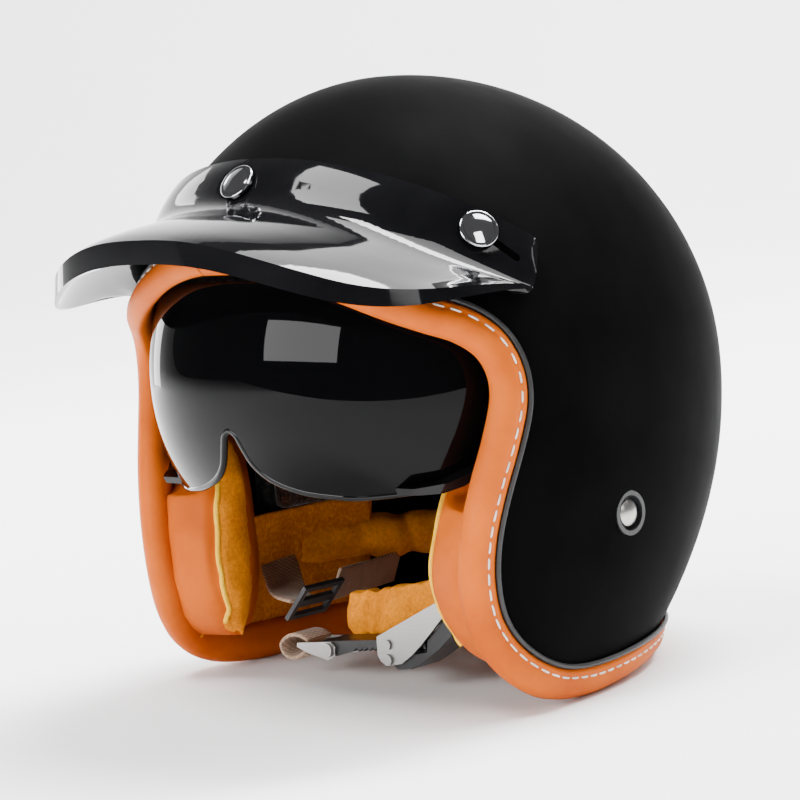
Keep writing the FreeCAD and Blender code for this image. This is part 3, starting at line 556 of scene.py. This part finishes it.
# ---- padded pieces ------------------------------------------------------
def remeshed(name, node, voxel, inward=0.0):
    """Copy of a CAD soft solid as an even mesh, pulled in a little along its normals."""
    obj = bpy.data.objects.new(name, NODES[node].data.copy())
    bpy.context.scene.collection.objects.link(obj)
    obj.data.materials.clear()
    mod = obj.modifiers.new("even", "REMESH")
    mod.mode = "VOXEL"
    mod.voxel_size = voxel
    bake(obj)
    if inward:
        move_points(obj, lambda p, n: p - n * inward)
    return obj


def bake(obj):
    """Applies every modifier of obj."""
    dg = bpy.context.evaluated_depsgraph_get()
    mesh = bpy.data.meshes.new_from_object(obj.evaluated_get(dg))
    obj.modifiers.clear()
    old = obj.data
    obj.data = mesh
    bpy.data.meshes.remove(old)


def point_arrays(mesh):
    """Places and normals of the mesh's points."""
    co = np.empty(len(mesh.vertices) * 3)
    mesh.vertices.foreach_get("co", co)
    no = np.empty(len(mesh.vertices) * 3)
    mesh.vertex_normals.foreach_get("vector", no)
    return co.reshape(-1, 3), no.reshape(-1, 3)


def move_points(obj, rule):
    """Puts every point where rule(places, normals) says."""
    co, no = point_arrays(obj.data)
    obj.data.vertices.foreach_set("co", np.array(rule(co, no)).ravel())
    obj.data.update()


def plump(obj, pressure, cap, frames=20):
    """Cloth pressure puffs the piece up; no point moves further than cap."""
    start, _ = point_arrays(obj.data)
    mod = obj.modifiers.new("puff", "CLOTH")
    cloth = mod.settings
    cloth.effector_weights.gravity = 0.0
    cloth.use_pressure = True
    cloth.uniform_pressure_force = pressure
    cloth.quality = 5
    cloth.mass = 0.25
    cloth.tension_stiffness = cloth.compression_stiffness = 18.0
    cloth.bending_stiffness = 1.2
    mod.collision_settings.use_collision = False
    scene = bpy.context.scene
    for frame_number in range(1, frames + 1):
        scene.frame_set(frame_number)
    bake(obj)
    scene.frame_set(1)
    end, _ = point_arrays(obj.data)
    step = end - start
    length = np.linalg.norm(step, axis=1)[:, None]
    kept = start + step * np.minimum(1.0, cap / np.maximum(length, 1e-9))
    obj.data.vertices.foreach_set("co", kept.ravel())
    obj.data.update()


def smooth_up(obj):
    """One level of subdivision, applied."""
    mod = obj.modifiers.new("fine", "SUBSURF")
    mod.levels = mod.render_levels = 1
    bake(obj)
    obj.data.shade_smooth()


def wave(p, scale, seed):
    """Smooth noise at points p, about -1 to 1."""
    return np.array([noise.noise(Vector(q) * scale + Vector((seed, 0.3 * seed, 0))) for q in p])


def crease(p, axis, places, depth, width):
    """Sum of soft valleys across an axis direction at given places (metres)."""
    along = p @ np.array(axis)
    bend = 0.004 * wave(p, 38.0, 2.0)
    out = np.zeros(len(p))
    for place, share in places:
        out += share * np.exp(-((along + bend - place) / width) ** 2)
    return depth * out


def two_materials(obj, first, second, rule):
    """Second material on the faces where rule(centre, normal) holds."""
    obj.data.materials.clear()
    obj.data.materials.append(first)
    obj.data.materials.append(second)
    for poly in obj.data.polygons:
        poly.material_index = 1 if rule(np.array(poly.center), np.array(poly.normal)) else 0


# cheek pads: smooth leather front, suede inner face, bright cut edge between them
CHEEK = [(17.0, -48.0, 68.0, -42.0), (26.0, -60.0, 62.0, -50.0), (42.0, -67.5, 59.0, -53.0),
         (60.0, -67.0, 60.0, -52.0), (78.0, -62.0, 62.0, -49.0), (92.0, -56.0, 66.0, -46.0),
         (101.0, -50.0, 72.0, -42.0)]
PAD_INSET, SEAM_SHARE = 10.6, 0.16


def pad_split(z):
    """Width of the seam between leather and suede at height z, mm."""
    levels = [row[0] for row in CHEEK]
    nose = np.interp(z, levels, [row[2] for row in CHEEK])
    front = np.interp(z, levels, [row[1] for row in CHEEK])
    outer = form_x(front + 3.0, z, PAD_INSET) or 100.0
    return nose + SEAM_SHARE * (outer - nose)


EDGE_SUEDE = suede("suede_edge", (0.95, 0.56, 0.03), (0.72, 0.36, 0.01))
for side, label in ((1.0, "left"), (-1.0, "right")):
    pad = remeshed("cheek_cushion_" + label, "cheek_pad_" + label, 0.004, 0.0012)
    plump(pad, 3.0, 0.005)
    smooth_up(pad)
    co, no = point_arrays(pad.data)
    z_mm = co[:, 2] * 1000 - ORIGIN[2]
    split = np.array([pad_split(z) for z in z_mm])
    # the leather panel swells out to meet the trim
    reach = np.clip((np.abs(co[:, 0]) * 1000 - split - 6.0) / 16.0, 0, 1) ** 2
    reach *= np.clip((-co[:, 1] * 1000 - 30.0) / 18.0, 0, 1)
    move_points(pad, lambda p, n: p + reach[:, None] * np.array([0.0035 * side, -0.0078, 0.0]))
    # the lower end is drawn down over the trim
    low = np.clip((44.0 - z_mm) / 28.0, 0, 1) ** 1.5
    move_points(pad, lambda p, n: p + low[:, None] * np.array([0.0025 * side, -0.001, -0.0075]))
    # a groove at the seam, and a soft uneven nap on the suede side
    co, no = point_arrays(pad.data)
    gap = (np.abs(co[:, 0]) * 1000 - split) / 1.6
    front = np.clip(-no[:, 1] * 2.0, 0, 1)
    seam = 0.0011 * np.exp(-gap ** 2) * front
    nap = 0.0007 * wave(co, 75.0, 5.0 * side) * (gap < 0)
    folds = 0.0012 * wave(co * [1.0, 1.0, 0.45], 48.0, 9.0) * (gap < -1)
    move_points(pad, lambda p, n: p - n * (seam - nap - folds)[:, None])
    two_materials(pad, MAT["tan_leather"], MAT["ochre_suede"],
                  lambda c, n: abs(c[0]) * 1000 < pad_split(c[2] * 1000 - ORIGIN[2]))
    pad.data.shade_smooth()
    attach(pad, "helmet")
    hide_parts("cheek_pad_" + label)
    bpy.context.view_layer.update()
    # the cut edge follows the pad's surface down the seam
    line = []
    for z in np.linspace(20.0, 99.0, 60):
        x = side * (pad_split(z) - 0.5)
        start = Vector(mm((x, -140.0, z)))
        ok, place, normal, _ = pad.ray_cast(start, Vector((0, 1, 0)))
        if ok:
            line.append(np.array(place) + np.array(normal) * 0.0004)
    line = np.array(line)
    line[1:-1] = (line[:-2] + 2 * line[1:-1] + line[2:]) / 4
    lip = tube("cheek_edging_" + label, line, 0.00115, hint=(0, -1, 0), sides=10)
    finish_piece(lip, "helmet", EDGE_SUEDE, "ochre_suede")

# suede skirts that run back from the pads to the neck roll, mm
# the skirts wear a darker copy of the ochre suede: painted shade for the dim inside of the helmet
PAINTED_SHADE_SUEDE = suede("suede_painted_shade", (0.72, 0.215, 0.003), (0.26, 0.062, 0.002))
SKIRT_FRONT, SKIRT_REAR, SKIRT_LOW, SKIRT_HEIGHT = -50.0, 46.0, 8.5, 52.0
SKIRT_INSET, SKIRT_SPREAD, SKIRT_THICK, SKIRT_LEAD = 7.5, 27.0, 1.6, 4.0
for side, label in ((1.0, "left"), (-1.0, "right")):
    rows = []
    for y in np.linspace(SKIRT_FRONT, SKIRT_REAR, 60):
        front = math.exp(-((y - SKIRT_FRONT) / 14.0) ** 2)
        ring = []
        for turn in np.linspace(0, 2 * math.pi, 40, endpoint=False):
            rise = 0.5 - 0.5 * math.cos(turn)
            z = SKIRT_LOW + SKIRT_HEIGHT * rise
            inset = SKIRT_INSET + SKIRT_SPREAD * rise ** 0.8
            inset += SKIRT_THICK * math.sin(turn) + SKIRT_LEAD * front * rise
            x = form_x(y, z, inset)
            ring.append(mm((side * x, y, z)))
        rows.append(ring)
    skirt = grid_object("cheek_skirt_" + label, rows, caps=True)
    move_points(skirt, lambda p, n: p + n * (0.0011 * wave(p * [1.0, 0.5, 1.6], 60.0, 6.0))[:, None])
    finish_piece(skirt, "helmet", PAINTED_SHADE_SUEDE, "ochre_suede")

# neck roll: soft suede with a few deep folds
roll = remeshed("neck_cushion", "neck_roll", 0.005, 0.002)
plump(roll, 3.5, 0.006)
smooth_up(roll)
ANGLES = [(-1.25, 0.7), (-0.92, 1.0), (-0.55, 0.6), (-0.2, 1.0),
          (0.24, 0.7), (0.6, 1.0), (0.95, 0.8), (1.3, 0.6)]


def roll_folds(p, n):
    angle = np.arctan2(p[:, 0], p[:, 1] - 0.01) + 0.10 * wave(p, 30.0, 4.0) + 3.0 * (p[:, 2] - 0.04)
    deep = sum(share * np.exp(-((angle - at) / 0.06) ** 2) for at, share in ANGLES)
    return p - n * (0.0017 * deep - 0.0016 * wave(p, 55.0, 8.0))[:, None]


move_points(roll, roll_folds)
finish_piece(roll, "helmet", MAT["ochre_suede"], "ochre_suede", "neck_roll")

# strap sleeve
sleeve = remeshed("sleeve_suede", "strap_sleeve", 0.0022, 0.0003)
plump(sleeve, 3.0, 0.003)
smooth_up(sleeve)
FOLDS = [(-0.027, 1.0), (-0.021, 0.7), (-0.004, 0.45), (0.016, 0.8), (0.034, 0.5)]
move_points(sleeve, lambda p, n: p - n * (crease(p, (0.93, 0.0, -0.37), FOLDS, 0.0018, 0.0016)
                                          - 0.0008 * wave(p, 110.0, 3.0))[:, None])
finish_piece(sleeve, "helmet", MAT["ochre_suede"], "ochre_suede", "strap_sleeve")


def quilt(p, n):
    """Diamond stitching pressed into the head side of the lining."""
    u = np.arctan2(p[:, 1] - 0.01, p[:, 0]) * 0.085
    v = p[:, 2] * 1.1
    inner = np.clip(-(n[:, 0] * p[:, 0] + n[:, 1] * p[:, 1] + n[:, 2] * (p[:, 2] - 0.12)) / 0.08, 0, 1)
    groove = np.zeros(len(p))
    for line in (u + v, u - v):
        off = (line / 0.026) % 1.0
        groove += np.exp(-(np.minimum(off, 1 - off) * 0.026 / 0.0016) ** 2)
    return p - n * (0.0015 * inner * np.minimum(groove, 1.0))[:, None]


for node in ("head_band_pad", "crown_liner", "brow_pad"):
    lining = remeshed(node + "_quilt", node, 0.0024)
    move_points(lining, quilt)
    lining.data.shade_smooth()
    finish_piece(lining, "helmet", MAT["liner_fabric"], "liner_fabric", node)


# ---- webbing ------------------------------------------------------------
WEB_THICK, WEB_STEPS = 1.6, 90
WEB_LOWER = [(-1, -0.3), (-0.94, -0.5), (-0.5, -0.46), (0, -0.5), (0.5, -0.46), (0.94, -0.5), (1, -0.3)]
WEB_SECTION = WEB_LOWER + [(u, -v) for u, v in reversed(WEB_LOWER)]


def width_at(turns, share):
    """Width direction at a share, 0 to 1, of the way along a strap."""
    place = min(len(turns) - 1, share * (len(turns) - 1))
    first, part = int(place), place % 1
    if first == len(turns) - 1:
        return turns[first]
    return turns[first] * (1 - part) + turns[first + 1] * part


def strap(name, places, turns, width, body, node):
    """Flat webbing through places in mm, with the width direction at each."""
    turns = np.array(turns, float)
    line = spline(places, WEB_STEPS)
    t = np.gradient(line, axis=0)
    t /= np.linalg.norm(t, axis=1)[:, None]
    out = []
    for i, (p, a) in enumerate(zip(line, t)):
        w = width_at(turns, i / (WEB_STEPS - 1))
        w = w - a * (w @ a)
        w /= np.linalg.norm(w)
        n = np.cross(a, w)
        out.append([mm(p + w * (u * width / 2) + n * (v * WEB_THICK)) for u, v in WEB_SECTION])
    obj = grid_object(name, out, caps=True)
    return finish_piece(obj, body, MAT["webbing"], "webbing", node)


HANGER_X = form_x(2.9, 66.6, 0.0) - 10.2
right = [(-HANGER_X, 2.9, 56.8), (-97.0, 0.6, 47.0), (-86.0, -4.0, 38.0), (-72.0, -14.0, 30.0),
         (-60.0, -22.0, 26.5), (-47.2, -25.0, 25.4)]
turn = [(0.0, 1, 0), (0.14, 1, 0), (0.29, 1, 0), (0.25, 1, -0.1), (0.25, 1, -0.1), (0.25, 1, -0.1)]
strap("chin_webbing_right", right, turn, 18.0, "helmet", "webbing_right")
left = [(HANGER_X, 2.9, 56.8), (97.0, 1.6, 51.0), (84.0, -3.4, 44.6), (70.0, -11.0, 38.6),
        (60.5, -21.0, 35.6), (52.2, -30.0, 33.4)]
turn = [(0.0, 1, 0), (-0.14, 1, 0), (-0.29, 1, 0), (-0.25, 1, 0.1), (-0.25, 1, 0.1), (-0.25, 1, 0.1)]
strap("chin_webbing_left", left, turn, 15.0, "helmet", "webbing_left")
leg = [(-72.0, 58.0, 25.0), (-64.0, 30.0, 26.0), (-54.0, 5.0, 28.0), (-46.5, -6.0, 29.6),
       (-42.5, -11.5, 30.4)]
strap("chin_webbing_rear", leg, [(0.3, 0.25, 1.0)] * len(leg), 15.0, "helmet", "webbing_rear_leg")
loop = [(-36.4, 10.6), (-41.0, 12.4), (-48.0, 12.0), (-53.4, 7.6), (-51.0, 3.2), (-44.5, 2.6),
        (-38.6, 5.4)]
loop = [(x, BUCKLE_Y, z) for x, z in loop]
strap("tongue_loop", loop, [(0, 1, 0)] * len(loop), 15.2, "tongue_set", "tongue_webbing")


# ---- sun visor ----------------------------------------------------------
def lens_value(p, grow):
    """Zero on the lens face that lies grow mm outside the outer one."""
    spread = np.abs(p[:, 0]) / (LENS_HALF + grow)
    reach = np.hypot(p[:, 1] - PIVOT_Y, p[:, 2] - PIVOT_Z) / (LENS_R + grow)
    return spread ** LENS_POWER + reach ** LENS_POWER - 1.0


def polished_lens():
    """Copy of the lens whose shading follows the exact curved faces."""
    mesh = NODES["sun_visor_lens"].data.copy()
    obj = bpy.data.objects.new("visor_lens", mesh)
    bpy.context.scene.collection.objects.link(obj)
    co, _ = point_arrays(mesh)
    p = co * 1000 - ORIGIN
    normals = np.zeros((len(p), 2, 3))
    near = np.zeros((len(p), 2), bool)
    for side, grow in ((0, 0.0), (1, -LENS_THICK)):
        near[:, side] = np.abs(lens_value(p, grow)) < 0.004
        for k in range(3):
            step = np.zeros(3)
            step[k] = 0.02
            normals[:, side, k] = lens_value(p + step, grow) - lens_value(p - step, grow)
        outward = 1 if side == 0 else -1
        normals[:, side] /= np.linalg.norm(normals[:, side], axis=1)[:, None] * outward
    out = np.zeros((len(mesh.loops), 3))
    for poly in mesh.polygons:
        ids = list(poly.vertices)
        flat = np.array(poly.normal)
        for side in (0, 1):
            if near[ids, side].all() and flat @ normals[ids[0], side] > 0.8:
                out[poly.loop_indices] = normals[ids, side]
                break
        else:
            out[poly.loop_indices] = flat
    mesh.shade_smooth()
    mesh.normals_split_custom_set(out.tolist())
    return finish_piece(obj, "sun_visor", MAT["smoke_lens"], "smoke_lens", "sun_visor_lens")


polished_lens()
NOTCH = [(0.0, 113.0), (3.4, 110.6), (5.6, 105.6), (9.0, 98.6), (15.0, 92.8),
         (27.0, 87.6), (44.0, 84.6), (58.0, 83.0)]
LENS_LOW = [(-12.0, 115.5), (-35.0, 103.0), (-47.0, 96.5), (-58.0, 90.5),
            (-70.0, 85.2), (-85.0, 84.0), (-125.0, 84.0)]


def lens_radius(x):
    """Distance of the lens face from the pivot axis at x."""
    return LENS_R * max(0.0, 1 - (abs(x) / LENS_HALF) ** LENS_POWER) ** (1 / LENS_POWER)


def lens_low_edge(count):
    """Line along the lens's lower edge, through the nose notch."""
    notch = spline([(x, 0, z) for x, z in NOTCH], 200)
    notch_end = NOTCH[-1][0]
    side = np.array(LENS_LOW)[::-1]
    half = []
    for x in np.concatenate([np.linspace(0, 12, 60, endpoint=False), np.linspace(12, 93.5, 260)]):
        r = lens_radius(x) - LENS_THICK / 2
        z = float(np.interp(x, notch[:, 0], notch[:, 2])) if x <= notch_end else 80.0
        for _ in range(30):
            y = PIVOT_Y - math.sqrt(max(0.0, r * r - (z - PIVOT_Z) ** 2))
            need = float(np.interp(y, side[:, 0], side[:, 1]))
            z = max(need, float(np.interp(x, notch[:, 0], notch[:, 2])) if x <= notch_end else 0.0)
        if r <= abs(z - PIVOT_Z):
            break
        half.append((x, y, z))
    half = np.array(half)
    line = np.vstack([half[::-1] * [-1, 1, 1], half[1:]])
    return resample(line, count)


edge = np.array([mm(p) for p in lens_low_edge(240)])
bead = tube("visor_edge_bead", edge, 0.00155, hint=(0, 1, 0), sides=14)
finish_piece(bead, "sun_visor", MAT["gloss_black"], "gloss_black")


# ---- floor, light, camera -----------------------------------------------
FLOOR_AZ, FLOOR_GAP = math.radians(43.7), 0.0004


def backdrop():
    """Pale floor that curves up far behind the helmet."""
    prof = [(-0.75, 0.0), (0.5, 0.0), (2.6, 0.0), (3.4, 0.12),
            (4.0, 0.5), (4.35, 1.1), (4.5, 2.0), (4.5, 5.5)]
    prof = spline([(0, y, z) for y, z in prof], 60)
    c, s = math.cos(FLOOR_AZ), math.sin(FLOOR_AZ)
    rows = [[(x * c - y * s, x * s + y * c, z - FLOOR_GAP) for x in np.linspace(-7, 7, 3)]
            for _, y, z in prof]
    obj = grid_object("studio_floor", rows, wrap_v=False)
    mat, nt, b = new_material("pale_floor", (0.9, 0.9, 0.9), 0.9, Specular_IOR_Level=0.1)
    cloudy = noise_node(nt, coords(nt), 3.0)
    col = ramp_node(nt, cloudy, [(0.3, (0.89, 0.89, 0.89)), (0.7, (0.92, 0.92, 0.92))])
    nt.links.new(col, b.inputs["Base Color"])
    obj.data.materials.append(mat)


backdrop()


def area(name, place, target, size_x, size_y, power):
    """Rectangular lamp at place that faces target, metres and watts."""
    light = bpy.data.lights.new(name, "AREA")
    light.shape = "RECTANGLE"
    light.size, light.size_y, light.energy = size_x, size_y, power
    obj = bpy.data.objects.new(name, light)
    bpy.context.scene.collection.objects.link(obj)
    obj.location = place
    obj.rotation_euler = (Vector(target) - Vector(place)).to_track_quat("-Z", "Y").to_euler()


def direction(azimuth, elevation):
    """Unit vector away from the helmet; azimuth 0 is straight ahead of the face."""
    flat = math.cos(elevation)
    return Vector((math.sin(azimuth) * flat, -math.cos(azimuth) * flat, math.sin(elevation)))


def studio_light(name, azimuth, elevation, distance, size_x, size_y, power):
    """Softbox seen from the helmet at an azimuth and elevation in degrees."""
    target = Vector((0.0, 0.0, 0.15))
    place = target + direction(math.radians(azimuth), math.radians(elevation)) * distance
    area(name, place, target, size_x, size_y, power)


studio_light("front_softbox", -6.0, 15.5, 1.7, 1.25, 0.50, 38.0)
studio_light("top_softbox", -14.0, 65.0, 1.6, 0.80, 0.52, 40.0)
studio_light("left_strip", -97.0, 12.0, 1.6, 0.35, 1.0, 11.0)
studio_light("right_fill", 78.0, 28.0, 2.0, 0.5, 0.9, 12.0)
studio_light("high_back", 165.0, 62.0, 2.8, 2.4, 1.6, 150.0)
area("backdrop_light", (0.2, 1.4, 3.0), (-2.6, 2.8, 0.3), 2.4, 1.0, 620.0)

world = bpy.data.worlds.new("studio")
world.use_nodes = True
world.node_tree.nodes["Background"].inputs["Color"].default_value = (1, 1, 1, 1)
world.node_tree.nodes["Background"].inputs["Strength"].default_value = 0.14
bpy.context.scene.world = world

CAM_AZ, CAM_EL, CAM_DIST, CAM_LENS = math.radians(43.52), math.radians(5.32), 1.2253, 128.84
LOOK_AZ, LOOK_EL, CAM_ROLL = math.radians(43.72), math.radians(5.95), math.radians(-4.47)


def camera():
    """Camera that stands at CAM_* and looks against the LOOK_* direction."""
    cam = bpy.data.cameras.new("camera")
    obj = bpy.data.objects.new("camera", cam)
    bpy.context.scene.collection.objects.link(obj)
    bpy.context.scene.camera = obj
    cam.sensor_width = 36.0
    cam.lens = CAM_LENS
    cam.clip_start = 0.05
    place = Vector(mm((0, 0, 125.0))) + direction(CAM_AZ, CAM_EL) * CAM_DIST
    axis = direction(LOOK_AZ, LOOK_EL)
    right = Vector((math.cos(LOOK_AZ), math.sin(LOOK_AZ), 0))
    up = axis.cross(right)
    r = right * math.cos(CAM_ROLL) + up * math.sin(CAM_ROLL)
    u = up * math.cos(CAM_ROLL) - right * math.sin(CAM_ROLL)
    turn = Matrix((r, u, axis)).transposed()
    obj.matrix_world = Matrix.Translation(place) @ turn.to_4x4()


camera()
